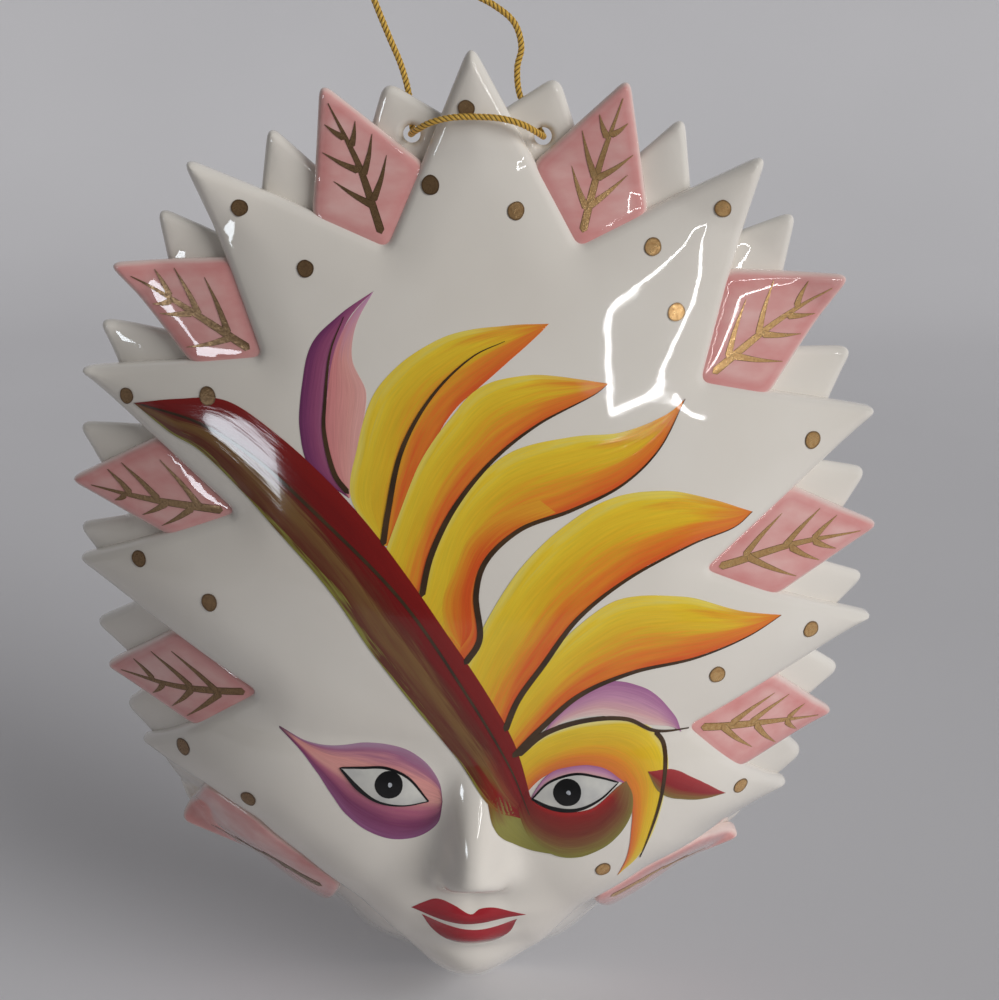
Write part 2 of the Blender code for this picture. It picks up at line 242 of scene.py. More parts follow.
class Look:
    """A node material under construction, with a Principled shader and short ways to add nodes."""

    def __init__(self, name, roughness, coat=0.0, metallic=0.0):
        self.material = bpy.data.materials.new(name)
        self.material.use_nodes = True
        self.tree = self.material.node_tree
        self.shader = self.tree.nodes["Principled BSDF"]
        self.shader.inputs["Roughness"].default_value = roughness
        self.shader.inputs["Metallic"].default_value = metallic
        self.shader.inputs["Coat Weight"].default_value = coat
        self.shader.inputs["Coat Roughness"].default_value = COAT_ROUGHNESS

    def node(self, kind, links=(), **settings):
        """A new node. Settings are its properties, and links are (input, source socket or value)."""
        made = self.tree.nodes.new(kind)
        for key, value in settings.items():
            setattr(made, key, value)
        for socket, source in links:
            if hasattr(source, "is_output"):
                self.tree.links.new(source, made.inputs[socket])
            else:
                made.inputs[socket].default_value = source
        return made

    def place(self):
        return self.node("ShaderNodeTexCoord").outputs["Object"]

    def attribute(self, name, output="Fac"):
        return self.node("ShaderNodeAttribute", attribute_name=name).outputs[output]

    def noise(self, vector, scale, detail=2.0, roughness=0.5):
        links = [("Vector", vector), ("Scale", scale), ("Detail", detail), ("Roughness", roughness)]
        return self.node("ShaderNodeTexNoise", links).outputs["Fac"]

    def scaled(self, vector, size):
        return self.node("ShaderNodeVectorMath", [(0, vector), (1, size)], operation="MULTIPLY").outputs[0]

    def math(self, operation, first, second=0.0, clamp=False):
        return self.node("ShaderNodeMath", [(0, first), (1, second)], operation=operation,
                         use_clamp=clamp).outputs[0]

    def swing(self, value, size):
        """Turns a noise of 0 to 1 into one that swings about 0."""
        return self.math("MULTIPLY", self.math("SUBTRACT", value, 0.5), size)

    def spread(self, value, low, high, to_low=0.0, to_high=1.0):
        """Maps low..high to to_low..to_high, held at both ends."""
        links = [(0, value), (1, low), (2, high), (3, to_low), (4, to_high)]
        return self.node("ShaderNodeMapRange", links).outputs[0]

    def ramp(self, value, stops):
        made = self.node("ShaderNodeValToRGB", [(0, value)])
        row = made.color_ramp.elements
        while len(row) < len(stops):
            row.new(0.5)
        for element, (place, colour) in zip(row, stops):
            element.position = place
            element.color = linear(*colour)
        return made.outputs["Color"]

    def mix(self, share, first, second):
        return self.node("ShaderNodeMix", [(0, share), (6, first), (7, second)], data_type="RGBA").outputs[2]

    def colour(self, source):
        self.tree.links.new(source, self.shader.inputs["Base Color"])

    def roughness(self, source):
        self.tree.links.new(source, self.shader.inputs["Roughness"])

    def bump(self, height, strength, distance):
        links = [("Strength", strength), ("Distance", distance), ("Height", height)]
        made = self.node("ShaderNodeBump", links)
        self.tree.links.new(made.outputs[0], self.shader.inputs["Normal"])


def glaze_waves(look, marks=None):
    """The slow waves and fine pits of a fired glaze, as bump, over any brush marks."""
    place = look.place()
    waves = look.noise(place, 90, 1.0)
    pits = look.noise(place, 1500, 0.0)
    height = look.math("ADD", look.math("MULTIPLY", waves, 0.8), look.math("MULTIPLY", pits, 0.02))
    if marks:
        height = look.math("ADD", height, marks)
    look.bump(height, 0.10, 0.001)


def white_glaze():
    """Warm white glaze, a little uneven, that is paler where it thins over the edges."""
    look = Look("white_glaze", GLAZE_ROUGHNESS, COAT)
    place = look.place()
    cloud = look.noise(place, 28, 3.0)
    base = look.ramp(cloud, [(0.3, (233, 226, 216)), (0.7, (238, 232, 223))])
    thin = look.spread(look.attribute("edge_mm"), 0.3, 2.2, 0.5, 0.0)
    look.colour(look.mix(thin, base, linear(243, 239, 232)))
    look.roughness(look.spread(cloud, 0.3, 0.7, 0.03, 0.06))
    glaze_waves(look)
    return look.material


def pink_glaze():
    """Brushed pink glaze that thins to the white body at the edges and pools deeper beside them."""
    look = Look("pink_glaze", GLAZE_ROUGHNESS, COAT)
    place = look.place()
    strokes = look.noise(look.scaled(place, (120, 120, 260)), 1.0, 3.0)
    cloud = look.noise(place, 70, 2.0)
    depth = look.math("ADD", look.math("MULTIPLY", strokes, 0.5), look.math("MULTIPLY", cloud, 0.5))
    base = look.ramp(depth, [(0.30, (224, 150, 146)), (0.5, (232, 174, 169)), (0.68, (239, 194, 188))])
    edge = look.attribute("edge_mm")
    pool = look.spread(look.math("ABSOLUTE", look.math("SUBTRACT", edge, 2.4)), 0.0, 2.2, 0.40, 0.0)
    pooled = look.math("MULTIPLY", pool, look.math("MULTIPLY", cloud, 1.8))
    base = look.mix(pooled, base, linear(214, 122, 122))
    wander = look.math("ADD", edge, look.swing(cloud, 1.2))
    bare = look.spread(wander, 0.1, 1.1, 0.75, 0.0)
    look.colour(look.mix(bare, base, linear(241, 224, 216)))
    glaze_waves(look)
    return look.material


def brushed(name, stops, streaks=0.22, tip=None, tip_from=0.75, root=None, root_to=0.2):
    """Brush-painted glaze colour. It runs over the stops from one edge of a stroke to the other, broken
    up by streaks along the stroke, and blends into the tip's colour at its end and the root's at its
    start."""
    look = Look(name, PAINT_ROUGHNESS, COAT)
    stroke = look.attribute("stroke", "Vector")
    parts = look.node("ShaderNodeSeparateXYZ", [(0, stroke)])
    _, across, along = parts.outputs
    broad = look.noise(look.scaled(stroke, (0.035, 7.0, 0.0)), 1.0, 3.0)
    fine = look.noise(look.scaled(stroke, (0.10, 34.0, 0.0)), 1.0, 2.0)
    shift = look.swing(broad, streaks * 2)
    value = look.math("ADD", look.math("ADD", across, shift), look.swing(fine, streaks), clamp=True)
    base = look.ramp(value, stops)
    if tip:
        wander = look.math("ADD", along, look.math("MULTIPLY", shift, 0.8))
        base = look.mix(look.spread(wander, tip_from, 1.0), base, linear(*tip))
    if root:
        wander = look.math("ADD", along, look.math("MULTIPLY", shift, 0.6))
        base = look.mix(look.spread(wander, 0.0, root_to, 1.0, 0.0), base, linear(*root))
    shade = look.spread(fine, 0.25, 0.75, 0.88, 1.06)
    tinted = look.node("ShaderNodeHueSaturation", [("Value", shade), ("Color", base)]).outputs[0]
    look.colour(tinted)
    marks = look.math("ADD", look.math("MULTIPLY", broad, 0.7), look.math("MULTIPLY", fine, 0.12))
    glaze_waves(look, marks)
    return look.material


def plain_paint(name, colour, darker, scale, roughness=PAINT_ROUGHNESS, coat=COAT):
    """One pigment, a little uneven."""
    look = Look(name, roughness, coat)
    cloud = look.noise(look.place(), scale, 3.0)
    look.colour(look.ramp(cloud, [(0.35, darker), (0.62, colour)]))
    glaze_waves(look)
    return look.material


def lustre():
    """Fired metallic lustre, brushed thin: painted shade makes it a flat brown toward -X, and painted light
    makes it bright gold toward +X, as if lit from the right.
    """
    look = Look("gold_lustre", 0.32, metallic=0.6)
    place = look.place()
    side = look.node("ShaderNodeSeparateXYZ", [(0, place)]).outputs[0]
    # Painted light and shade: the lustre goes from brown toward -X to bright gold toward +X, as light from
    # the right would show it.
    bright = look.spread(side, -0.01, 0.05)
    grain = look.noise(place, 1300, 3.0)
    shade_painted_brown = look.ramp(grain, [(0.3, (116, 90, 62)), (0.7, (148, 118, 84))])
    gold = look.ramp(grain, [(0.3, (208, 160, 104)), (0.7, (238, 196, 136))])
    base = look.mix(bright, shade_painted_brown, gold)
    rim = look.spread(look.attribute("edge_share"), 0.0, 0.22, 0.8, 0.0)
    look.colour(look.mix(rim, base, linear(78, 54, 34)))
    look.roughness(look.spread(grain, 0.3, 0.7, 0.42, 0.24))
    look.bump(grain, 0.25, 0.0002)
    return look.material


def gold_thread():
    """Metallic thread: bright on the crowns of the strands, with painted shade that turns it brown in the
    grooves.
    """
    look = Look("gold_thread", 0.3, metallic=0.3)
    place = look.place()
    sparkle = look.noise(place, 5200, 2.0)
    base = look.ramp(sparkle, [(0.3, (222, 164, 52)), (0.55, (250, 202, 88)), (0.75, (255, 236, 160))])
    # Painted shade: deep brown laid into the grooves between the strands.
    groove = look.spread(look.attribute("groove"), 0.3, 0.9)
    look.colour(look.mix(groove, base, linear(70, 38, 10)))
    look.roughness(look.spread(sparkle, 0.3, 0.7, 0.42, 0.2))
    look.bump(sparkle, 0.5, 0.0002)
    return look.material


# --- Cord ------------------------------------------------------------------------------------
CORD_STRANDS = 3
CORD_LAY = 3.6            # length of one full turn of a strand
CORD_STEP = 0.12
CORD_SIDES = 18
GROOVE_DEPTH = 0.2
CAP_RINGS = 4


def rope(shape, line, radius=CORD_RADIUS):
    """A twisted cord along evenly spaced places, with round ends."""
    step = np.linalg.norm(line[1] - line[0])
    ahead = np.gradient(line, axis=0)
    ahead /= np.linalg.norm(ahead, axis=1)[:, None]
    caps = [math.radians(90 * k / CAP_RINGS) for k in range(1, CAP_RINGS + 1)]
    rows = [(line[0] - ahead[0] * radius * math.sin(a), ahead[0], math.cos(a), 0.0) for a in caps[::-1]]
    rows += [(place, toward, 1.0, k * step) for k, (place, toward) in enumerate(zip(line, ahead))]
    rows += [(line[-1] + ahead[-1] * radius * math.sin(a), ahead[-1], math.cos(a), len(line) * step)
             for a in caps]
    side = np.cross(ahead[0], (0.3, 0.9, 0.4))
    angles = np.arange(CORD_SIDES) * 2 * math.pi / CORD_SIDES
    verts, grooves = [], []
    for place, toward, share, walked in rows:
        side = side - toward * (side @ toward)
        side /= np.linalg.norm(side)
        other = np.cross(toward, side)
        crown = np.abs(np.cos(CORD_STRANDS / 2 * (angles - 2 * math.pi * walked / CORD_LAY)))
        reach = radius * max(share, 0.02) * (1 - GROOVE_DEPTH * (1 - crown) ** 1.5)
        across, up = np.cos(angles) * reach, np.sin(angles) * reach
        verts.append(place + across[:, None] * side + up[:, None] * other)
        # How far into a groove each place lies, where the thread's material paints shade.
        grooves.append(1 - crown)
    n = CORD_SIDES
    faces = [(r * n + k, r * n + (k + 1) % n, (r + 1) * n + (k + 1) % n, (r + 1) * n + k)
             for r in range(len(rows) - 1) for k in range(n)]
    faces.append(tuple(range(n))[::-1])
    faces.append(tuple((len(rows) - 1) * n + k for k in range(n)))
    shape.add(np.concatenate(verts), faces, groove=np.concatenate(grooves))


def cord_line(route):
    rough = smooth_line(route, 200)
    return smooth_line(route, round(line_length(rough) / CORD_STEP) + 1)


def build_cord_piece(name, node, body, route, gold):
    line = cord_line(route)
    shape = Shape()
    rope(shape, line)
    return shape.build(name, gold, body, "gold_cord", [node], sharp=80), line


def build_knot(gold):
    """An overhand knot of both legs, with two short cut tails."""
    centre = np.array(KNOT)
    turns = np.linspace(0, 2 * math.pi, 160)
    loop = np.column_stack([
        (np.sin(turns) + 2 * np.sin(2 * turns)) * 0.82,
        np.sin(3 * turns) * 1.1,
        (np.cos(turns) - 2 * np.cos(2 * turns)) * 0.78,
    ])
    shape = Shape()
    rope(shape, smooth_line(centre + loop, 220), CORD_RADIUS * 0.95)
    for lean in (-1, 1):
        tail = centre + [(lean * 0.8, 0, 1.0), (lean * 1.6, 0.2, 3.2), (lean * 3.0, 0.1, 5.2)]
        rope(shape, smooth_line(tail, 34), CORD_RADIUS * 0.9)
    return shape.build("tied_knot", gold, "hanging_loop", "gold_cord", ["cord_knot"], sharp=80)


def build_cords():
    gold = gold_thread()
    knot = build_knot(gold)
    for side in ("left", "right"):
        leg, line = build_cord_piece(f"gold_cord_{side}_leg", f"cord_{side}_leg", "hanging_loop",
                                     CORD_ROUTES[side], gold)
    span, line = build_cord_piece("gold_cord_front_span", "cord_front_span", "mask", FRONT_SPAN, gold)


# --- The ceramic's form ----------------------------------------------------------------------
def smooth_step(value):
    value = np.clip(value, 0, 1)
    return value * value * (3 - 2 * value)


def rim_at(angle):
    """The rim's radius and the dome's fullness in each direction, blended between RIM's rows."""
    angle = np.asarray(angle, float)
    radius, fullness = np.full_like(angle, RIM[-1][1]), np.full_like(angle, RIM[-1][2])
    for low, high in zip(RIM, RIM[1:]):
        between = (angle >= low[0]) & (angle <= high[0])
        share = smooth_step((angle - low[0]) / (high[0] - low[0]))
        radius = np.where(between, low[1] + (high[1] - low[1]) * share, radius)
        fullness = np.where(between, low[2] + (high[2] - low[2]) * share, fullness)
    return radius, fullness


def dome(x, z):
    across, up = np.abs(x), z - DOME_CENTRE_Z
    radius, fullness = rim_at(np.degrees(np.arctan2(up, np.maximum(across, 1e-6))))
    share = np.minimum(np.hypot(across, up) / radius, 1.0)
    return DOME_HEIGHT * (1 - share**fullness) ** EDGE_SOFTNESS


# Soft hills and hollows of the face: centre, half width and half height, rise.
FACE_HILLS = (
    ((-19, -150), (15, 9), -2.0),     # eye sockets
    ((27, -151), (15, 9), -2.0),
    ((-19, -153), (9.5, 6), 2.6),     # eyeballs under the lids
    ((27, -154), (9.5, 6), 2.6),
    ((-3.4, -177.5), (3.4, 4.0), 3.0),    # wings of the nose
    ((9.6, -177.5), (3.4, 4.0), 3.0),
    ((-26, -178), (15, 13), 1.6),     # cheeks
    ((33, -180), (15, 13), 1.6),
    ((3, -186), (2.6, 3.4), -0.5),    # the groove over the lip
    ((2.5, -190.3), (11.5, 3.4), 2.4),    # lips
    ((2.5, -197), (9, 3.6), 2.6),
    ((2.5, -203.5), (9, 3), -0.9),
    ((3, -212), (11, 7), 2.0),        # chin
)


def nose(x, z):
    along = (NOSE_TOP_Z - z) / (NOSE_TOP_Z - NOSE_TIP_Z)
    under = (z - NOSE_BASE_Z) / (NOSE_TIP_Z - NOSE_BASE_Z)
    rise = np.where(along < 1, smooth_step(along), smooth_step(under))
    half_width = NOSE_HALF_WIDTH * (0.62 + 0.38 * np.clip(along, 0, 1))
    return NOSE_HEIGHT * rise * np.exp(-np.abs((x - NOSE_X) / half_width) ** 2.4)


def face_relief(x, z):
    total = nose(x, z)
    for (hill_x, hill_z), (wide, tall), rise in FACE_HILLS:
        total = total + rise * np.exp(-(((x - hill_x) / wide) ** 2) - ((z - hill_z) / tall) ** 2)
    return total


def shoulder(x, z, outline, width, drop):
    """How far a tier's surface sinks toward its edge, before the edge itself turns over."""
    nearness = 1 - np.clip(outline_distance(np.column_stack([x, z]), [outline]) / width, 0, 1)
    return drop * nearness**2


def shell_height(x, z):
    return dome(x, z) + SHELL_FRONT + face_relief(x, z) - shoulder(x, z, SHELL_OUTLINE, 14.0, 2.0)


def ring_height(x, z):
    return dome(x, z) + RING_THICKNESS - shoulder(x, z, RING_OUTLINE, 7.0, 0.8)


def ring_back(x, z):
    """The ring's back thins toward its open middle, where it runs into the back of the shell."""
    nearness = 1 - smooth_step(outline_distance(np.column_stack([x, z]), [RING_OPENING]) / RING_TAPER)
    return dome(x, z) + (RING_THICKNESS - RING_LIP) * nearness


def raised_dome(rise):
    return lambda x, z: dome(x, z) + rise


def leaf_surface(number, outline):
    """The height function of one leaf. They are numbered from 1 at the top."""
    front = LEAF_FRONT if number <= len(LEAF_REACH) else JAW_LEAF_FRONT
    return lambda x, z: dome(x, z) + front - shoulder(x, z, outline, 6.0, 0.6)


# --- Outlines --------------------------------------------------------------------------------
CAD_CUT = 2.0             # the cut length of the CAD's rounded corners
MOST_CUT = 0.35           # the most of a side that a corner's round takes
ROUND_STEPS = 6
LEAF_TUCK = 1.4           # how far a leaf reaches under the edges of its notch
JAW_TUCK = 1.0
HOLE_SIDES = 32


def toward(start, end, share):
    return tuple(a + (b - a) * share for a, b in zip(start, end))


def cut_ends(before, corner, after, cut):
    """Where a round of this cut length leaves the two sides of a corner."""
    return [toward(corner, other, min(cut / math.dist(corner, other), MOST_CUT)) for other in (before, after)]


def with_neighbours(items):
    return zip(items[-1:] + items[:-1], items, items[1:] + items[:1])


def rounded(outline, cut, hollow_cut=None):
    """The closed outline, drawn clockwise, with each corner turned into a smooth round of this cut length.
    Corners that point inward may have a cut length of their own. The others are moved out first, so that
    a tip reaches as far as the CAD's tip, whose round is smaller."""
    corners = []
    for before, corner, after in with_neighbours(outline):
        turn = ((corner[0] - before[0]) * (after[1] - corner[1])
                - (corner[1] - before[1]) * (after[0] - corner[0]))
        length = hollow_cut if hollow_cut and turn > 0 else cut
        if length == cut:
            middle = toward(*cut_ends(before, corner, after, cut), 0.5)
            corner = toward(corner, middle, -0.5 * (1 - CAD_CUT / cut))
        corners.append((corner, length))
    result = []
    for (before, _), (corner, length), (after, _) in with_neighbours(corners):
        start, end = cut_ends(before, corner, after, length)
        for step in range(ROUND_STEPS + 1):
            t = step / ROUND_STEPS
            result.append(toward(toward(start, corner, t), toward(corner, end, t), t))
    return result


def densified(outline, spacing):
    result = []
    for start, end in zip(outline, outline[1:] + outline[:1]):
        pieces = max(1, round(math.dist(start, end) / spacing))
        result += [toward(start, end, k / pieces) for k in range(pieces)]
    return np.array(result)


def front_outline():
    sides = []
    for side in (SIDES["right"], SIDES["left"]):
        outline = []
        for notch, point in zip(side["notches"], side["points"]):
            outline += [notch, point]
        outline += side["jaw"] + [side["notches"][-1]] + side["chin_side"]
        sides.append(outline)
    return [TOP_POINT] + sides[0] + [CHIN] + sides[1][::-1]


def rim_point(sign, angle, inset=0.0):
    reach = float(rim_at(angle)[0]) - inset
    turn = math.radians(angle)
    return (sign * reach * math.cos(turn), DOME_CENTRE_Z + reach * math.sin(turn))


def ring_outline():
    halves = []
    for sign, side in ((1, SIDES["right"]), (-1, SIDES["left"])):
        rays = side["rays"]
        half = [rays[0]]
        for before, ray in zip(rays, rays[1:]):
            half += [toward(toward(before, ray, 0.5), (0, DOME_CENTRE_Z), RAY_DEPTH), ray]
        tip_x, tip_z = side["leaf_tips"][-1]
        half += [toward(side["points"][-1], (0, DOME_CENTRE_Z), 0.04), (tip_x - sign * 1.5, tip_z + 1.5)]
        half += [rim_point(sign, angle) for angle in UNDER_JAW_ANGLES]
        halves.append(half)
    under_top = (TOP_POINT[0], RAY_TOP_Z)
    under_chin = (CHIN[0] / 2, DOME_CENTRE_Z - RIM[0][1] + 2)
    return [under_top] + halves[0] + [under_chin] + halves[1][::-1]


def ring_opening():
    centre = (0, DOME_CENTRE_Z)
    right, left = ([toward(notch, centre, OPENING_SHARE) for notch in SIDES[side]["notches"]]
                   for side in ("right", "left"))
    return right + left[::-1]


def hole_outline(x):
    turns = [2 * math.pi * k / HOLE_SIDES for k in range(HOLE_SIDES)]
    return [(x + HOLE_RADIUS * math.cos(a), HOLE_RADIUS * math.sin(a)) for a in turns]


def leaf_outline(side, number):
    """A kite whose inner half fills the notch and whose outer half reaches past the front points."""
    notch, tip = Vector(side["notches"][number]), Vector(side["leaf_tips"][number])
    upper = Vector(TOP_POINT if number == 0 else side["points"][number - 1])
    lower = Vector(side["points"][number])
    inner = notch + (notch - tip).normalized() * LEAF_TUCK
    wings = []
    for end, reach in zip((upper, lower), LEAF_REACH[number]):
        edge = (end - notch).normalized()
        normal = Vector((-edge.y, edge.x))
        if normal.dot(tip - notch) > 0:
            normal.negate()
        wings.append(notch.lerp(end, reach) + normal * LEAF_TUCK)
    return [tuple(corner) for corner in (inner, wings[0], tip, wings[1])]


def jaw_leaf_outline(sign, side):
    """The lowest leaf lies on the steep wall under the jaw."""
    upper = [(x, z + JAW_TUCK) for x, z in (side["notches"][-1], *side["jaw"][::-1])]
    lower = [rim_point(sign, angle, inset=2.0) for angle in UNDER_JAW_ANGLES[:2]]
    return [*upper, side["leaf_tips"][-1], *lower]


def leaf_outlines(label):
    """The five leaves of one side, from the top to the jaw."""
    sign, side = (-1 if label == "left" else 1), SIDES[label]
    outlines = [leaf_outline(side, number) for number in range(len(LEAF_REACH))]
    outlines.append(jaw_leaf_outline(sign, side))
    return [np.array(rounded(outline, 3.8)) for outline in outlines]


SHELL_OUTLINE = np.array(rounded(front_outline(), 4.6, 2.0))
RING_OUTLINE = np.array(rounded(ring_outline(), 4.2, 2.0))
RING_OPENING = np.array(rounded(ring_opening(), 8.0))


# --- Plates that follow the dome -------------------------------------------------------------
SHELL_EDGE = 2.6          # how round the front edges of each tier are, and all the back edges
RING_EDGE = 2.0
LEAF_EDGE = 1.6
BACK_EDGE = 0.8
OUTLINE_SPACING = 1.1
FACE_BOX = ((-46.0, -222.0), (54.0, -136.0))    # where the shell's mesh is finer


def outline_distance(points, outlines):
    """Distance from each point to the nearest edge of the closed outlines."""
    best = np.full(len(points), np.inf)
    for outline in outlines:
        for start, end in zip(outline, np.roll(outline, -1, axis=0)):
            edge = end - start
            share = np.clip((points - start) @ edge / (edge @ edge), 0, 1)
            gap = points - start - share[:, None] * edge
            best = np.minimum(best, np.einsum("ij,ij->i", gap, gap))
    return np.sqrt(best)


def within(points, outlines):
    """True inside the outlines, by counting crossings, so that an inner outline is a hole."""
    odd = np.zeros(len(points), bool)
    for outline in outlines:
        for (x0, z0), (x1, z1) in zip(outline, np.roll(outline, -1, axis=0)):
            if z0 == z1:
                continue
            spans = (points[:, 1] < z0) != (points[:, 1] < z1)
            odd ^= spans & (points[:, 0] < x0 + (points[:, 1] - z0) * (x1 - x0) / (z1 - z0))
    return odd


def left_of(runs):
    """The unit vector to the left of each run."""
    return np.column_stack([-runs[:, 1], runs[:, 0]]) / np.linalg.norm(runs, axis=1)[:, None]


def thinned(points, cell):
    """At most one of the points in each small cell."""
    keep = np.unique(np.round(points / cell), axis=0, return_index=True)[1]
    return points[np.sort(keep)]


def edge_rings(outlines, radius, steps):
    """Rows of places inside the edge, spaced so that a quarter round of this radius comes out even."""
    rows = []
    for step in range(1, steps + 1):
        inset = radius * (1 - math.cos(math.radians(90 * step / steps)))
        for outline in outlines:
            normal = left_of(np.roll(outline, -1, axis=0) - np.roll(outline, 1, axis=0))
            for way in (1, -1):
                places = outline + normal * inset * way
                good = within(places, outlines) & (outline_distance(places, outlines) > 0.93 * inset)
                rows.append(thinned(places[good], 0.55))
    return np.concatenate(rows)


def lattice(low, high, spacing):
    """A triangular lattice of places over the box."""
    rows = []
    for k, z in enumerate(np.arange(low[1], high[1], spacing * math.sqrt(3) / 2)):
        rows += [(x, z) for x in np.arange(low[0] + k % 2 * spacing / 2, high[0], spacing)]
    return np.array(rows)


def quarter_drop(distance, radius):
    """How far a quarter round's surface lies below the full height at this distance from the edge."""
    inner = np.clip(radius - distance, 0, radius)
    return radius - np.sqrt(np.maximum(radius**2 - inner**2, 0))


def plate(name, round_outlines, back, height, edge_radius, material, slot, node, square_outlines=(),
          spacing=2.2, face_spacing=None, rows=6):
    """A closed plate between the heights back(x, z) and height(x, z). Its edges along the round outlines are
    rounded, and those along the square ones aren't."""
    outlines = [densified(outline, OUTLINE_SPACING) for outline in (*round_outlines, *square_outlines)]
    low, high = outlines[0].min(axis=0), outlines[0].max(axis=0)
    grid = lattice(low, high, spacing)
    if face_spacing:
        (left, bottom), (right, top) = FACE_BOX
        x, z = grid.T
        in_box = (x > left) & (x < right) & (z > bottom) & (z < top)
        grid = np.concatenate([grid[~in_box], lattice(*FACE_BOX, face_spacing)])
    grid = grid[within(grid, outlines)]
    grid = grid[outline_distance(grid, outlines) > edge_radius + 0.6]
    points = np.concatenate([*outlines, edge_rings(outlines, edge_radius, rows), grid])
    edges, start = [], 0
    for outline in outlines:
        count = len(outline)
        edges += [(start + k, start + (k + 1) % count) for k in range(count)]
        start += count
    made = delaunay_2d_cdt([Vector(p) for p in points], edges, [], 0, 1e-5)
    flat = np.array([tuple(v) for v in made[0]])
    triangles = np.array(made[2])
    triangles = triangles[within(flat[triangles].mean(axis=1), outlines)]
    used, triangles = np.unique(triangles, return_inverse=True)
    flat, triangles = flat[used], triangles.reshape(-1, 3)
    edge = outline_distance(flat, outlines[:len(round_outlines)])
    x, z = flat.T
    front = height(x, z) - quarter_drop(edge, edge_radius)
    rear = back(x, z) + quarter_drop(edge, BACK_EDGE)
    count = len(flat)
    verts = np.concatenate([np.column_stack([x, -front, z]), np.column_stack([x, -rear, z])])
    faces = [tuple(t) for t in triangles] + [tuple(t[::-1] + count) for t in triangles]
    sides = {pair for a, b, c in triangles for pair in ((a, b), (b, c), (c, a))}
    faces += [(a, a + count, b + count, b) for a, b in sorted(sides) if (b, a) not in sides]
    shape = Shape()
    shape.add(verts, faces, edge_mm=np.concatenate([edge, edge]))
    return shape.build(name, material, "mask", slot, [node])


def build_ceramic():
    white, pink = white_glaze(), pink_glaze()
    ring = [RING_OUTLINE.tolist(), hole_outline(-HOLE_X), hole_outline(HOLE_X)]
    plate("glazed_ray_ring", ring, ring_back, ring_height, RING_EDGE, white, "white_glaze", "ray_ring",
          square_outlines=[RING_OPENING.tolist()], rows=5)
    plate("glazed_face_shell", [SHELL_OUTLINE.tolist()], raised_dome(SHELL_BACK), shell_height, SHELL_EDGE,
          white, "white_glaze", "face_shell", face_spacing=1.0)
    for label in SIDES:
        for number, outline in enumerate(leaf_outlines(label), 1):
            plate(f"glazed_leaf_{label}_{number}", [outline.tolist()], raised_dome(LEAF_BACK),
                  leaf_surface(number, outline), LEAF_EDGE, pink, "pink_glaze", f"leaf_{label}_{number}",
                  spacing=1.6, rows=4)


# --- Painting --------------------------------------------------------------------------------
PAINT_BASE = 0.05         # how far the lowest layer of paint stands out of the glaze
PAINT_LIFT = 0.035        # each layer lies this much above the one under it
PAINT_SINK = 0.5
LEAST_WIDTH = 0.06        # a stroke never quite closes, so that its ends have no doubled places
LENGTH_STEPS = 60         # places along a line when its length is measured
RIBBON_ACROSS = 5
chance = random.Random(7)


def wobble(count, size):
    """A slow, seeded unevenness along an edge, in millimetres."""
    at = np.linspace(0, 1, count)
    total = np.zeros(count)
    for waves in (2, 5, 9, 17):
        total += np.sin(at * waves * math.pi + chance.uniform(0, 6.3)) / waves**0.6
    return total * size


def skin(shape, flat, faces, border, height, layer, **values):
    """Adds a closed patch of paint over (x, z) places: its faces, the same below them, and a wall between."""
    surface = height(flat[:, 0], flat[:, 1])
    over = np.column_stack([flat[:, 0], -(surface + layer * PAINT_LIFT + PAINT_BASE), flat[:, 1]])
    under = np.column_stack([flat[:, 0], -(surface - PAINT_SINK), flat[:, 1]])
    count = len(flat)
    below = [tuple(index + count for index in face[::-1]) for face in faces]
    wall = [(b, a, a + count, b + count) for a, b in zip(border, border[1:] + border[:1])]
    doubled = {name: np.concatenate([value, value]) for name, value in values.items()}
    shape.add(np.concatenate([over, under]), faces + below + wall, **doubled)


def lay(shape, grid, height, layer, **values):
    """Adds a patch of paint given as rows of (x, z) places."""
    rows, columns = grid.shape[:2]
    index = np.arange(rows * columns).reshape(rows, columns)
    corners = (index[:-1, :-1], index[:-1, 1:], index[1:, 1:], index[1:, :-1])
    quads = [tuple(quad) for quad in np.stack(corners, axis=-1).reshape(-1, 4).tolist()]
    border = np.concatenate([index[0], index[1:, -1], index[-1, -2::-1], index[-2:0:-1, 0]]).tolist()
    skin(shape, grid.reshape(-1, 2), quads, border, height, layer, **values)


def stroke(shape, first, second, layer, rough=0.10, step=1.0, across=10):
    """A brush stroke between two edges drawn from its root to its tip."""
    length = max(line_length(smooth_line(edge, LENGTH_STEPS)) for edge in (first, second))
    count = max(8, round(length / step))
    hold = np.sin(np.linspace(0, math.pi, count))[:, None] ** 0.5
    edges = []
    for edge in (first, second):
        line = smooth_line(edge, count)
        edges.append(line + left_of(np.gradient(line, axis=0)) * wobble(count, rough)[:, None] * hold)
    share = np.linspace(0, 1, across)
    grid = edges[0][:, None] * (1 - share)[None, :, None] + edges[1][:, None] * share[None, :, None]
    gap = np.linalg.norm(edges[1] - edges[0], axis=1)
    for row in np.where(gap < LEAST_WIDTH)[0]:
        way = np.array([0.0, 1.0]) if gap[row] < 1e-6 else (edges[1][row] - edges[0][row]) / gap[row]
        grid[row] = grid[row].mean(axis=0) + (share - 0.5)[:, None] * LEAST_WIDTH * way
    along = np.linspace(0, 1, count)
    value = np.stack(np.broadcast_arrays((along * length)[:, None], share[None, :], along[:, None]), axis=-1)
    lay(shape, grid, shell_height, layer, stroke=value.reshape(-1, 3))


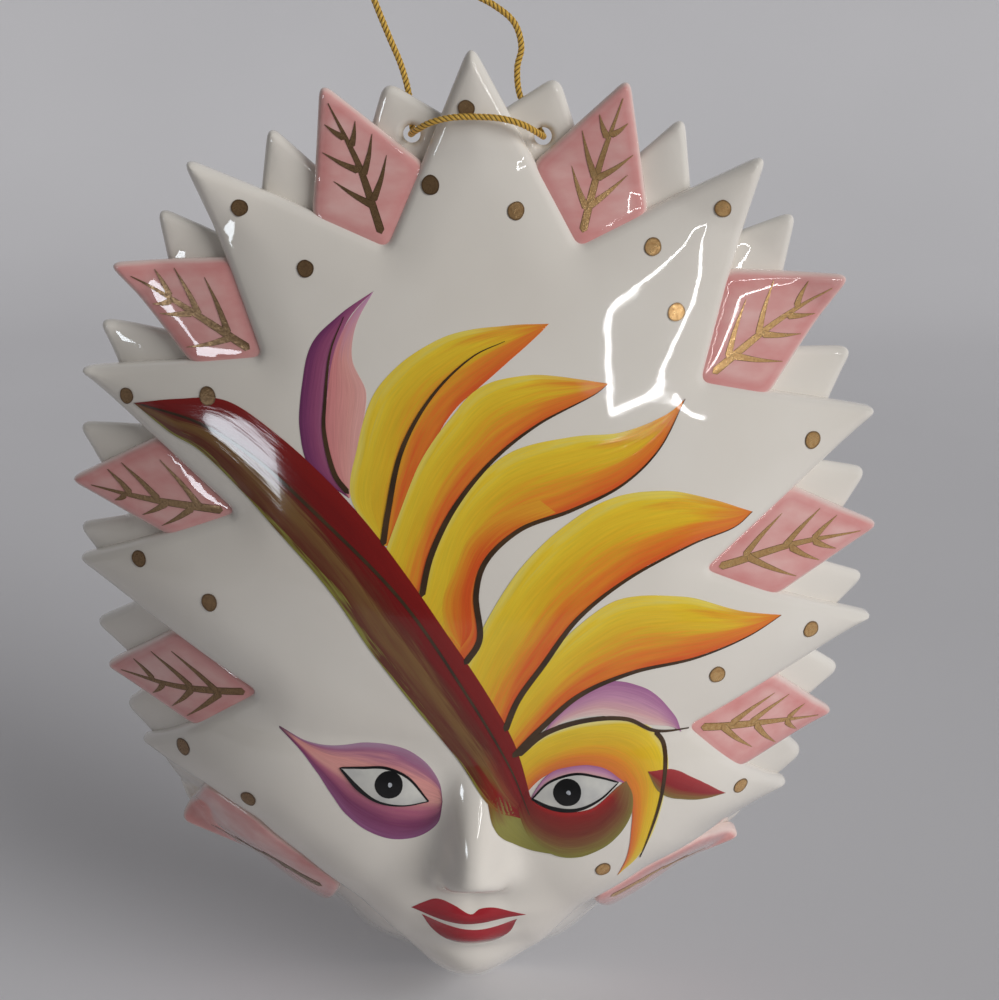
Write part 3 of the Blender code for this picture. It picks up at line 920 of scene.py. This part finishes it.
def ribbon(shape, line, widths, layer, height=shell_height, step=0.8, rough=0.05):
    """A line of paint with a blunt root, whose width runs evenly through the given widths."""
    length = line_length(smooth_line(line, LENGTH_STEPS))
    count = max(8, round(length / step))
    centre = smooth_line(line, count)
    normal = left_of(np.gradient(centre, axis=0))
    at = np.linspace(0, 1, count)
    half = np.interp(at, np.linspace(0, 1, len(widths)), widths) / 2
    blunt = np.clip(at * length / (widths[0] / 2 + 0.05), 0, 1)
    half = np.maximum(half * np.sqrt(1 - (1 - blunt) ** 2), LEAST_WIDTH / 2)
    share = np.linspace(-1, 1, RIBBON_ACROSS)
    uneven = wobble(count, rough)[:, None, None]
    grid = centre[:, None] + normal[:, None] * (half[:, None] * share)[:, :, None]
    grid = grid + normal[:, None] * uneven * np.minimum(half, 0.4)[:, None, None]
    edge = np.broadcast_to(1 - np.abs(share), (count, RIBBON_ACROSS)).ravel()
    lay(shape, grid, height, layer, edge_share=edge)


def blob(shape, centre, radius, layer, rough, rings=4, sides=24):
    """A dab of paint: a slightly uneven disc."""
    turns = np.linspace(0, 2 * math.pi, sides, endpoint=False)
    reach = np.ones(sides)
    for waves in (2, 3, 5):
        reach += rough * np.sin(waves * turns + chance.uniform(0, 6.3)) / waves
    outline = np.column_stack([np.cos(turns), np.sin(turns)]) * reach[:, None] * radius
    shares = np.arange(1, rings + 1) / rings
    places = np.concatenate([[centre], *(np.array(centre) + outline * share for share in shares)])
    faces = []
    for k in range(sides):
        after = (k + 1) % sides
        faces.append((0, 1 + k, 1 + after))
        for inner in range(1, 1 + (rings - 1) * sides, sides):
            faces.append((inner + k, inner + sides + k, inner + sides + after, inner + after))
    border = list(range(1 + (rings - 1) * sides, 1 + rings * sides))
    edge = np.concatenate([[1.0], np.repeat(1 - shares, sides)])
    skin(shape, places, faces, border, shell_height, layer, edge_share=edge)


def paint(name, material, *strokes, **settings):
    """One painted piece, made of strokes that are each given as two edges and a layer."""
    shape = Shape()
    for first, second, layer in strokes:
        stroke(shape, first, second, layer, **settings)
    shape.build(name, material, "mask", "white_glaze")


# Feathers: the upper edge, the lower edge and the rib where it isn't the lower edge, each from the root
# to the tip.
FEATHERS = (
    ([(-20, -93.5), (-28, -83), (-27, -72), (-22, -57.5), (-7, -46), (8.5, -43), (18.5, -42.5)],
     [(-19, -93.5), (-14, -84), (-9, -71), (-3.5, -62), (5.5, -54), (16, -45), (18.5, -42.5)],
     [(-20, -93.5), (-19, -86), (-16, -71.5), (-9, -59), (0.5, -50), (8, -46.5)]),
    ([(-19.5, -95), (-15.5, -84), (-11, -73), (-4.5, -64), (2, -57), (14, -54), (26, -55), (33, -56)],
     [(-10.5, -105), (-8.5, -95.5), (-3, -84), (6, -73), (16.5, -65), (30.5, -58), (33, -56)]),
    ([(-11.5, -105), (-9, -96), (-4.5, -86.5), (2.5, -77), (11, -71), (24, -68), (37, -67), (48, -63),
      (52, -60)],
     [(0, -121), (3.5, -115), (2.5, -104), (4.5, -96.5), (12.5, -89), (25, -84.5), (37, -79), (45.5, -71.5),
      (52, -60)]),
    ([(0, -122), (5, -110.5), (12, -99), (22, -89), (34.5, -82), (47.5, -81), (60, -84), (70, -88)],
     [(10, -138), (13, -130), (19, -121), (27, -110), (39, -101), (55, -94), (66, -91), (70, -88)]),
    ([(9, -138), (15, -125.5), (27, -112), (37, -106), (52, -106.5), (68, -112), (79, -115)],
     [(12, -145), (18.5, -137.5), (28, -129), (41, -124), (57, -122), (70.5, -118.5), (79, -115)]),
)
RIB_WIDTHS = (1.5, 1.3, 0.9, 0.5, 0.1)
OTHER_RIBS = (  # line, widths, layer
    ([(-28.5, -82), (-32, -78), (-35, -68), (-35, -62), (-34, -50), (-31, -42)],
     (1.3, 1.1, 0.8, 0.5, 0.1), 7),
    ([(-83.5, -66.5), (-67, -69), (-52.5, -75.5), (-38, -86), (-15.5, -106), (1.5, -130), (11.5, -148),
      (16.5, -160.5)], (0.4, 0.8, 0.8, 0.8, 0.7, 0.6, 0.2), 7),
    ([(13, -144.5), (20, -138.5), (30, -135.5), (40, -136), (47, -140), (56, -141.5)],
     (1.7, 1.3, 1.1, 0.9, 0.2), 8.2),
    ([(47, -140), (49.5, -144), (49.5, -156), (45, -176)], (1.1, 1.0, 0.7, 0.2), 7.6),
)

YELLOW, DEEP_YELLOW = (244, 210, 54), (238, 190, 44)
ORANGE, FLAME = (240, 146, 46), (232, 98, 42)
VIOLET, PURPLE, LAVENDER = (112, 50, 98), (158, 80, 120), (206, 154, 192)
SALMON = (238, 168, 160)
DARK_RED, RED_BROWN, OLIVE, LEAF_GREEN = (124, 16, 16), (108, 44, 30), (134, 98, 54), (142, 138, 62)


def paint_feathers():
    look = brushed("feather_paint", [
        (0.0, (244, 222, 100)), (0.14, YELLOW), (0.50, DEEP_YELLOW), (0.72, ORANGE), (0.97, FLAME),
    ], streaks=0.30, tip=(236, 126, 48), tip_from=0.72)
    strokes = [(*feather[:2], 1 + 0.6 * k) for k, feather in enumerate(FEATHERS)]
    paint("painted_yellow_feathers", look, *strokes, across=14)
    flame = brushed("flame_paint", [
        (0.0, (238, 176, 46)), (0.3, (236, 140, 40)), (0.75, (228, 92, 34)),
    ], streaks=0.4, tip=(238, 166, 48), tip_from=0.55)
    paint("painted_flame_streak", flame, (
        [(-1, -117), (-4.6, -112), (-5.4, -106), (-3, -99), (0.5, -91), (7, -85.5), (17, -82)],
        [(-1, -117), (1.4, -113), (1.3, -105), (3.4, -96.8), (9, -90.2), (14, -87.6), (21, -85)], 2.7))


def paint_ribs():
    look = plain_paint("rib_paint", (78, 56, 34), (60, 42, 26), 120)
    shape = Shape()
    ribs = [(feather[-1], RIB_WIDTHS, 7) for feather in FEATHERS]
    for line, widths, layer in (*ribs, *OTHER_RIBS):
        ribbon(shape, line, widths, layer)
    shape.build("painted_ribs", look, "mask", "white_glaze")


def paint_purple_feather():
    pink = brushed("pink_feather_paint", [
        (0.0, (226, 140, 142)), (0.6, SALMON), (1.0, (242, 182, 174)),
    ], tip=LAVENDER, tip_from=0.65)
    paint("painted_pink_vane", pink, (
        [(-28.5, -83), (-33, -76), (-35, -66), (-34.5, -57), (-33, -49), (-28.5, -41), (-24, -36)],
        [(-28.3, -83), (-27.5, -78), (-26, -68), (-25, -59), (-28.5, -52), (-28, -44), (-24, -36)], 0.4))
    purple = brushed("purple_paint", [
        (0.0, VIOLET), (0.22, (134, 62, 110)), (0.6, PURPLE), (1.0, (180, 106, 142)),
    ], tip=(166, 90, 134), tip_from=0.8)
    paint("painted_purple_vane", purple, (
        [(-28.5, -83), (-38, -77), (-41, -68), (-41, -60), (-39, -49), (-32, -41.5), (-24, -36)],
        [(-28.5, -83), (-32, -78), (-34.7, -68), (-34.5, -60), (-33, -50), (-29.5, -42), (-24, -36)], 0.8))


def paint_stem():
    look = brushed("stem_paint", [
        (0.0, (140, 22, 18)), (0.34, DARK_RED), (0.50, RED_BROWN), (0.64, OLIVE), (0.80, (118, 72, 44)),
        (0.92, (104, 46, 32)), (0.98, LEAF_GREEN),
    ], streaks=0.24, tip=(136, 24, 26), tip_from=0.86)
    paint("painted_stem", look, (
        [(-85.5, -66.5), (-73.5, -64), (-60, -63), (-45.5, -70.5), (-28, -84.5), (-16, -98), (-3.5, -115),
         (6.5, -130), (12.5, -141.5), (17, -157)],
        [(-85.5, -66.5), (-75, -72.5), (-67, -75.5), (-48.5, -90), (-33, -105), (-23, -118.5),
         (-15.5, -128), (-3.5, -143), (5.5, -155), (10, -159.5), (14.5, -161.5)], 4.6), across=24)


def paint_brow():
    look = brushed("brow_paint", [
        (0.0, (246, 232, 150)), (0.12, YELLOW), (0.5, DEEP_YELLOW), (0.78, ORANGE), (1.0, (226, 110, 60)),
    ], streaks=0.14)
    paint("painted_brow_feather", look, (
        [(12.5, -144.5), (20, -139), (30, -136), (43, -137), (50, -145), (49, -163), (44.5, -175.5),
         (39.5, -181.5)],
        [(14, -156.5), (20, -150), (28.5, -147.5), (37, -150), (41.5, -157), (42, -166), (41.5, -174),
         (39.5, -181.5)], 3.0), across=16)
    lavender = brushed("lavender_paint", [
        (0.0, (176, 112, 160)), (0.4, (206, 148, 180)), (0.75, (228, 178, 180)), (1.0, (240, 214, 206)),
    ], streaks=0.14, tip=(172, 108, 158), tip_from=0.8)
    paint("painted_lavender_lid", lavender, (
        [(19, -139), (25.5, -130.5), (34, -126), (44.5, -128.5), (52, -137), (54, -142)],
        [(19, -139), (25, -135.5), (33, -134.5), (45, -138), (51.5, -140), (54, -142)], 3.4), (
        [(15.5, -158), (21, -149.5), (28.5, -147.3), (34.5, -148.3), (40, -152.5)],
        [(15.5, -158), (21, -151.8), (27.5, -149.9), (33.5, -150.9), (40, -152.5)], 3.8))


def paint_under_eye():
    green = brushed("olive_paint", [
        (0.0, (138, 116, 60)), (0.5, (146, 140, 72)), (1.0, (138, 132, 62)),
    ], streaks=0.3, root=(120, 66, 42), root_to=0.25)
    paint("painted_olive_patch", green, (
        [(15, -154.5), (18, -160), (21, -165), (26, -170), (30, -172.4)],
        [(6, -155), (7.8, -161.5), (11.2, -166.5), (17, -170.2), (30, -172.6)], 4.2), across=12)
    look = brushed("under_eye_paint", [
        (0.0, (180, 26, 24)), (0.14, (142, 30, 26)), (0.48, (124, 50, 36)), (0.76, (132, 94, 54)),
        (1.0, (138, 134, 62)),
    ], streaks=0.12, tip=(146, 116, 66), tip_from=0.8, root=(124, 18, 18), root_to=0.2)
    paint("painted_under_eye", look, (
        [(15.5, -154), (18, -157), (24.5, -159.5), (32, -158.5), (38, -153.5), (40.2, -152)],
        [(13.5, -158.5), (15, -163.5), (18, -168.5), (23.5, -172), (30, -172.4), (37, -169), (41.5, -162.5),
         (42, -156), (40.2, -152)], 5.6), across=14)
    red = brushed("red_leaf_paint", [
        (0.0, (176, 60, 62)), (0.55, (150, 36, 42)), (1.0, (140, 118, 62)),
    ], streaks=0.14)
    paint("painted_red_leaf", red, (
        [(45.5, -150), (52, -150.5), (60, -156), (67, -162)],
        [(45.5, -150), (49, -156.5), (58, -160.5), (67, -162)], 5.0))


def paint_left_eye():
    look = brushed("eye_surround_paint", [
        (0.0, (182, 144, 172)), (0.10, (172, 106, 140)), (0.24, (230, 158, 152)), (0.50, (234, 164, 156)),
        (0.66, (184, 100, 128)), (0.82, (132, 56, 100)), (1.0, (148, 88, 134)),
    ], streaks=0.10, tip=(104, 34, 76), tip_from=0.90, root=(104, 60, 92), root_to=0.10)
    paint("painted_eye_surround", look, (
        [(-46, -141), (-39, -143.5), (-32.5, -144), (-23, -142.5), (-15, -143.5), (-9, -147.5),
         (-5.8, -152.5), (-5, -157)],
        [(-46, -141.5), (-40, -146.5), (-36.5, -151), (-32.5, -157), (-29, -162), (-23, -166.3),
         (-16.5, -168), (-10, -166.5), (-6, -162.5), (-5, -157)], 1.0), across=22)


EYES = {
    "left": {
        "upper": [(-30.5, -149.5), (-25, -149), (-19, -148.7), (-13.5, -151), (-8.5, -157.3)],
        "lower": [(-30.5, -149.5), (-25.5, -154.5), (-20.5, -157.7), (-14.5, -158.5), (-8.5, -157.3)],
        "iris": (-18.2, -152.8),
        "lash": (0.5, 1.2, 0.7, 0.35, 0.25),
    },
    "right": {
        "upper": [(38.3, -152.2), (33.5, -150.5), (27.5, -149.4), (21, -151.5), (17, -156)],
        "lower": [(38.3, -152.2), (34, -156), (28, -158.7), (22, -158.3), (17, -156)],
        "iris": (25.6, -153.9),
        "lash": (0.3, 0.6, 1.0, 1.2, 0.5),
    },
}
IRIS_RADIUS = 3.5
GLINT_RADIUS = 0.55


def paint_eyes():
    white = plain_paint("eye_white_paint", (224, 222, 214), (196, 195, 192), 120)
    black = plain_paint("black_paint", (12, 10, 12), (6, 5, 7), 200, roughness=0.35, coat=0.0)
    glint = plain_paint("glint_paint", (196, 200, 206), (150, 154, 162), 900)
    whites, lines, glints = Shape(), Shape(), Shape()
    for eye in EYES.values():
        stroke(whites, eye["upper"], eye["lower"], layer=7.0, rough=0.03, step=0.6)
        blob(lines, eye["iris"], IRIS_RADIUS, layer=8.5, rough=0.03)
        glint_at = (eye["iris"][0] + 0.3, eye["iris"][1] + 0.2)
        blob(glints, glint_at, GLINT_RADIUS, layer=10, rough=0.2, rings=2, sides=12)
        ribbon(lines, eye["upper"], (0.35, 0.5, 0.55, 0.5, 0.35), layer=9.5, rough=0.02)
        ribbon(lines, eye["lower"], eye["lash"], layer=9.5, rough=0.03)
    whites.build("painted_eye_whites", white, "mask", "white_glaze")
    lines.build("painted_irises_and_lashes", black, "mask", "white_glaze")
    glints.build("painted_glints", glint, "mask", "white_glaze")


def paint_lips():
    look = brushed("lip_paint", [
        (0.0, (176, 42, 52)), (0.5, (166, 32, 44)), (1.0, (150, 28, 42)),
    ], streaks=0.2)
    paint("painted_lips", look, (
        [(-13, -189), (-10, -187), (-6.5, -185.4), (-2, -186.8), (2.5, -189), (4.5, -187.8), (8, -187.6),
         (12, -189), (16.3, -191)],
        [(-13, -189), (-8.5, -190.6), (-4, -191.6), (0, -192), (2.5, -192), (5, -191.8), (8.5, -191.4),
         (12, -191.1), (16.3, -191)], 1), (
        [(-10.3, -190.9), (-7, -192.2), (-3, -193.4), (3.2, -194.2), (9.5, -193.9), (14, -192.4)],
        [(-10.3, -190.9), (-8, -195.4), (-4, -198.4), (2.8, -200), (8.5, -199.8), (12.3, -197),
         (14, -192.4)], 1), rough=0.04, step=0.6)


DOTS = ((-2.5, 6.5), (-11, -11.5), (10, -17), (-58, -18), (-41, -31.5), (60.5, -16), (43.5, -25),
        (49.5, -40), (-87.5, -65), (-65, -62.5), (85.5, -72), (-84, -105), (-64, -112), (88, -121),
        (62.5, -127.5), (-74, -155), (-55, -163), (71.5, -162), (35.5, -177.5))
DOT_RADIUS = 2.15


def kept_inside(start, end, outline, margin):
    """The end of a vein, drawn back toward its start until it clears the leaf's edge."""
    for share in np.linspace(1, 0.3, 29):
        place = start + (end - start) * share
        point = place[None, :]
        if within(point, [outline])[0] and outline_distance(point, [outline])[0] > margin:
            break
    return place


def vein_lines(side, number, outline):
    """The midrib from the inner corner to the tip and the branches on both of its sides."""
    inner, tip = np.array(side["notches"][number], float), np.array(side["leaf_tips"][number], float)
    axis = tip - inner
    length = np.linalg.norm(axis)
    axis /= length
    normal = np.array([-axis[1], axis[0]])
    bow = chance.uniform(-0.03, 0.03) * length
    start, end = inner + axis * 3.0, inner + axis * length
    end = kept_inside(start, end, outline, 2.2)
    middle = inner + axis * 0.5 * length + normal * bow
    lines = [([start, middle, end], (2.0, 1.8, 1.2, 0.2))]
    for way in (1, -1):
        for share in (0.22, 0.42, 0.62):
            share += chance.uniform(-0.04, 0.04)
            root = inner + axis * share * length + normal * bow * 0.8
            lean = math.radians(chance.uniform(30, 42)) * way
            turn = axis * math.cos(lean) + normal * math.sin(lean)
            far = kept_inside(root, root + turn * 0.34 * length * chance.uniform(0.8, 1.0), outline, 1.8)
            lines.append(([root, (root + far) / 2 - axis * 0.5, far], (1.9, 1.1, 0.1)))
    return lines


def jaw_vein_lines(side, outline):
    """On the lowest leaf the midrib runs along the jaw, with short branches above it."""
    notch, tip = np.array(side["notches"][-1], float), np.array(side["leaf_tips"][-1], float)
    sign = 1 if tip[0] > 0 else -1
    low = np.array(rim_point(sign, -60, inset=6.0))
    start = notch * 0.62 + low * 0.38 + (sign * 3.2, 4.4)
    end = kept_inside(start, tip, outline, 3.2)
    lines = [([start, (start + end) / 2 + (-sign * 1.4, 2.0), end], (2.6, 2.2, 1.5, 0.3))]
    for share in (0.3, 0.55):
        root = start + (end - start) * share
        lines.append(([root, root + (sign * 3.0, 2.6), root + (sign * 6.4, 4.4)], (1.8, 1.1, 0.2)))
    return lines


def paint_lustre():
    look = lustre()
    dots = Shape()
    for place in DOTS:
        blob(dots, place, DOT_RADIUS * chance.uniform(0.92, 1.06), layer=5.5, rough=0.06)
    dots.build("lustre_dots", look, "mask", "white_glaze")
    for label, side in SIDES.items():
        veins = Shape()
        for number, outline in enumerate(leaf_outlines(label), 1):
            surface = leaf_surface(number, outline)
            if number <= len(LEAF_REACH):
                lines = vein_lines(side, number - 1, outline)
            else:
                lines = jaw_vein_lines(side, outline)
            for layer, (line, widths) in enumerate(lines):
                ribbon(veins, line, widths, layer=1 + 0.3 * layer, height=surface)
        veins.build(f"lustre_veins_{label}", look, "mask", "pink_glaze")


def build_painting():
    paint_purple_feather()
    paint_feathers()
    paint_stem()
    paint_brow()
    paint_under_eye()
    paint_left_eye()
    paint_ribs()
    paint_eyes()
    paint_lips()
    paint_lustre()


# --- Studio ----------------------------------------------------------------------------------
FLOOR_GAP = 0.0005        # metres from here on
FLOOR_HALF_WIDTH = 3.5
FLOOR_FRONT = -3.0
SWEEP_START = 0.9         # where the floor starts to turn up, well behind the mask
SWEEP_RADIUS = 0.6
BACKDROP_TOP = 3.0


def add_floor(level):
    """A pale floor that sweeps up into a backdrop well behind the mask."""
    profile = [(FLOOR_FRONT, 0.0), (SWEEP_START, 0.0)]
    for angle in range(6, 91, 6):
        turn = math.radians(angle)
        profile.append((SWEEP_START + SWEEP_RADIUS * math.sin(turn), SWEEP_RADIUS * (1 - math.cos(turn))))
    profile.append((SWEEP_START + SWEEP_RADIUS, BACKDROP_TOP))
    verts = [(x, y, level + z) for y, z in profile for x in (-FLOOR_HALF_WIDTH, FLOOR_HALF_WIDTH)]
    faces = [(2 * k, 2 * k + 1, 2 * k + 3, 2 * k + 2) for k in range(len(profile) - 1)]
    mesh = bpy.data.meshes.new("studio_floor")
    mesh.from_pydata(verts, [], faces)
    mesh.shade_smooth()
    look = Look("studio_paper", 0.7)
    cloud = look.noise(look.place(), 3.0)
    look.colour(look.ramp(cloud, [(0.3, (219, 218, 221)), (0.7, (224, 223, 226))]))
    mesh.materials.append(look.material)
    floor = bpy.data.objects.new("studio_floor", mesh)
    bpy.context.scene.collection.objects.link(floor)
    floor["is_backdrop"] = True


def way_to(azimuth, elevation):
    """The direction to a light: azimuth 0 is in front of the mask and 90 is to the right."""
    a, e = math.radians(azimuth), math.radians(elevation)
    return Vector((math.sin(a) * math.cos(e), -math.cos(a) * math.cos(e), math.sin(e)))


def add_light(name, kind, energy, place, way):
    """A light at this place that shines back along the way to it."""
    light = bpy.data.objects.new(name, bpy.data.lights.new(name, kind))
    light.data.energy = energy
    light.location = place
    light.rotation_euler = way.to_track_quat("Z", "Y").to_euler()
    bpy.context.scene.collection.objects.link(light)
    return light


def add_mirrored_panel(name, watts, place, way, size, colour=(1, 1, 1)):
    """A bright rectangle that shows only as its mirror image in the glaze."""
    light = add_light(name, "AREA", watts, place, way)
    light.data.shape = "RECTANGLE"
    light.data.size, light.data.size_y = size
    light.data.color = colour
    light.visible_diffuse = False


def add_key_light():
    """A wide, even sun that isn't itself mirrored in the glaze."""
    sun = add_light("key_light", "SUN", 2.0, (0, 0, 0), way_to(54, 24))
    sun.data.angle = math.radians(40)
    sun.visible_glossy = False


def add_left_window():
    way = way_to(-47, 12)
    place = Vector((-0.06, -0.03, -0.07)) + way * 1.1
    add_mirrored_panel("left_window", 1.5, place, way, (0.30, 0.15), (0.86, 0.93, 1.0))


def add_window_frame():
    """Four bright bars round a dark middle, whose mirror image is the outline on the upper right point."""
    way = way_to(34, 30)
    turn = way.to_track_quat("Z", "Y")
    middle = Vector((0.06, -0.02, -0.02)) + way * 0.8
    wide, tall, bar, brightness = 0.34, 0.16, 0.012, 75
    level, upright = (wide, bar), (bar, tall)
    bars = ((0, tall / 2, level), (0, -tall / 2, level), (wide / 2, 0, upright), (-wide / 2, 0, upright))
    for number, (right, up, size) in enumerate(bars, 1):
        place = middle + turn @ Vector((right, up, 0))
        add_mirrored_panel(f"window_bar_{number}", brightness * size[0] * size[1], place, way, size)


def add_studio():
    world = bpy.data.worlds.new("studio")
    bpy.context.scene.world = world
    world.use_nodes = True
    background = world.node_tree.nodes["Background"]
    background.inputs["Color"].default_value = (1, 1, 1, 1)
    background.inputs["Strength"].default_value = 0.12
    add_key_light()
    add_left_window()
    add_window_frame()
    bpy.context.scene.view_settings.view_transform = "Standard"


add_camera()
build_cords()
build_ceramic()
build_painting()
add_floor(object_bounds()[0].z - FLOOR_GAP)
add_studio()
